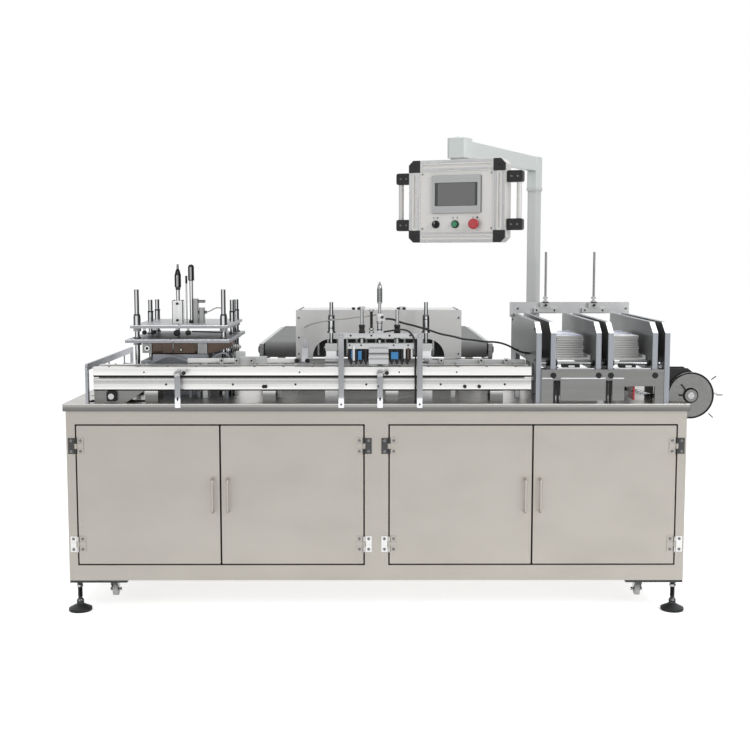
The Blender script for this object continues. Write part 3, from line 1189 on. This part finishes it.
def add_panel(looks):
    steel = looks["hinge_steel"]
    black = looks["black_plastic"]
    white = looks["white_plastic"]
    spin = Matrix.Rotation(math.radians(PANEL_YAW), 4, "Z")
    glass = display("display_glass")

    def slab(shape, across, up, width, height, low, high, material, ease=0.6):
        middle = panel_at(across, up, (low + high) / 2)
        deep = (high - low) / 2
        shape.box(middle[0] - width / 2, middle[0] + width / 2, middle[1] - deep, middle[1] + deep,
                  middle[2] - height / 2, middle[2] + height / 2, material, ease, spin)

    screen = Shape("screen_glass", "panel_body")
    slab(screen, 0.0, 26.0, 153.0, 87.0, 0.6, 1.6, glass, 0.3)
    screen.place("black_plastic")

    grey = coated("bezel_grey", (0.46, 0.46, 0.46), 0.40, 160.0, 0.06, 0.04)
    frame_piece = Shape("screen_frame", "panel_body")
    slab(frame_piece, 0.0, 91.0, 199.0, 13.0, 2.9, 3.6, grey, 0.3)
    slab(frame_piece, 0.0, -39.0, 199.0, 13.0, 2.9, 3.6, grey, 0.3)
    for side in (-1, 1):
        slab(frame_piece, side * 88.5, 26.0, 22.0, 117.0, 2.9, 3.6, grey, 0.3)
        slab(frame_piece, side * 82.0, 26.0, 9.0, 88.0, 3.6, 4.0, looks["dark_steel"], 0.2)
    slab(frame_piece, 0.0, 77.5, 155.0, 14.0, 2.9, 3.5, grey, 0.3)
    slab(frame_piece, 0.0, -25.5, 155.0, 14.0, 2.9, 3.5, grey, 0.3)
    frame_piece.place("black_plastic")

    ribs = Shape("profile_ribs", "panel_body")
    bright = looks["aluminium"]
    for side in (-1, 1):
        slab(ribs, 0.0, side * 151.0, 298.0, 9.0, 0.1, 1.4, bright, 0.6)
        slab(ribs, 0.0, side * 122.0, 298.0, 7.0, 0.1, 1.8, bright, 0.6)
        slab(ribs, side * 188.0, 0.0, 9.0, 222.0, 0.1, 1.4, bright, 0.6)
        slab(ribs, side * 157.0, 0.0, 8.0, 222.0, 0.1, 1.8, bright, 0.6)
    for sx in (-1, 1):
        for sy in (-1, 1):
            place = panel_at(sx * 172.0, sy * 134.0, 2.0)
            ribs.screw(place, panel_way(), 5.4, black, None, 2.2)
    for sx in (-1, 1):
        for sy in (-1, 1):
            ribs.screw(panel_at(sx * 140.0, sy * 104.0, -4.0), panel_way(), 3.2, steel, None, 1.8)
    ribs.place("aluminium")

    # Marks over the controls: plain strokes and dots
    marks = Shape("control_marks", "panel_body")
    for across, kind in ((-84.0, "arc"), (-5.0, "bar"), (76.0, "dot")):
        slab(marks, across - 9.0, -63.0, 2.4, 8.0, -4.0, -3.7, black, 0)
        if kind == "arc":
            slab(marks, across + 8.0, -63.0, 8.0, 2.2, -4.0, -3.7, black, 0)
            slab(marks, across + 5.0, -63.0, 2.2, 8.0, -4.0, -3.7, black, 0)
        elif kind == "bar":
            slab(marks, across + 8.0, -63.0, 2.4, 8.0, -4.0, -3.7, black, 0)
        else:
            slab(marks, across + 8.0, -63.0, 7.0, 7.0, -4.0, -3.7, black, 0)
    marks.place("black_plastic")

    pointer = Shape("selector_pointer", "selector_body")
    slab(pointer, -84.0, -82.5, 1.8, 8.0, 16.0, 16.5, white, 0.2)
    pointer.place("black_plastic")

    handles = Shape("handle_screws", "panel_body")
    for sx in (-1, 1):
        for sy in (-1, 1):
            for dx in (-12.0, 12.0):
                x, y, z = panel_at(sx * (226.0 + dx), sy * 90.0, -19.0)
                handles.screw((x, y, z), panel_way(), 4.2, steel, None, 2.4)
    handles.place("hinge_steel")


# Swinging arm: covers, seams and screws, with the post's own seams
def add_arm(looks):
    steel = looks["hinge_steel"]
    paint = looks["white_paint"]
    arm = Shape("arm_dress", "arm_body")
    arm.turned((322.0, 78.0, 1780.0), (322.0, 78.0, 1774.0), ((0, 34.0), (2, 36.0), (5, 36.0), (6, 30.0)), paint, 40)
    arm.turned((322.0, 78.0, 1857.9), (322.0, 78.0, 1861.0), ((0, 30.0), (1.5, 30.0), (3.0, 27.0)), paint, 40)
    arm.place("white_paint")
    post = Shape("post_dress_screws")
    for dx in (-50.0, 50.0):
        for dy in (-40.0, 40.0):
            post.screw((722.0 + dx, 880.0 + dy, 844.0), (0, 0, 1), 6.0, steel, None, 5.0)
    post.place("hinge_steel")


# Belt: seam, motor drum caps, guide blocks and foot bolts
def add_belt(looks):
    steel = looks["hinge_steel"]
    black = looks["black_plastic"]
    belt = Shape("belt_dress")
    for side in (-1, 1):
        x = side * 510.0
        for y in (640.0, 900.0, 1160.0, 1420.0, 1680.0, 1840.0):
            belt.screw((x, y, 990.0), (side, 0, 0), 5.0, steel, None, 3.6)
        for y in (642.0, 1824.0):
            belt.turned((x, y, 996.0), (x + side * 8.0, y, 996.0), ((0, 16.0), (5, 16.0), (8, 13.0)), black, 30)
        for y in (650.0, 900.0):
            for dy in (10.0, 40.0):
                belt.screw((side * 501.0, y + dy, 842.0), (0, 0, 1), 0.1 + 4.5, steel, None, 3.0)
        for dy in (-14.0, 54.0):
            belt.screw((side * 501.0, 1730.0 + dy, 12.0), (0, 0, 1), 6.0, steel, None, 5.0)
    belt.place("hinge_steel")


add_camera()
add_stage()
looks = add_looks()
add_cords(looks)
add_cabinet(looks)
add_feet(looks)
add_casters(looks)
add_chain(looks)
add_conveyor(looks)
add_posts(looks)
add_guard(looks)
add_press(looks)
add_head(looks)
add_arch(looks)
add_magazines(looks)
add_bags(looks)
add_panel(looks)
add_arm(looks)
add_belt(looks)

scene = bpy.context.scene
scene.view_settings.view_transform = "Standard"
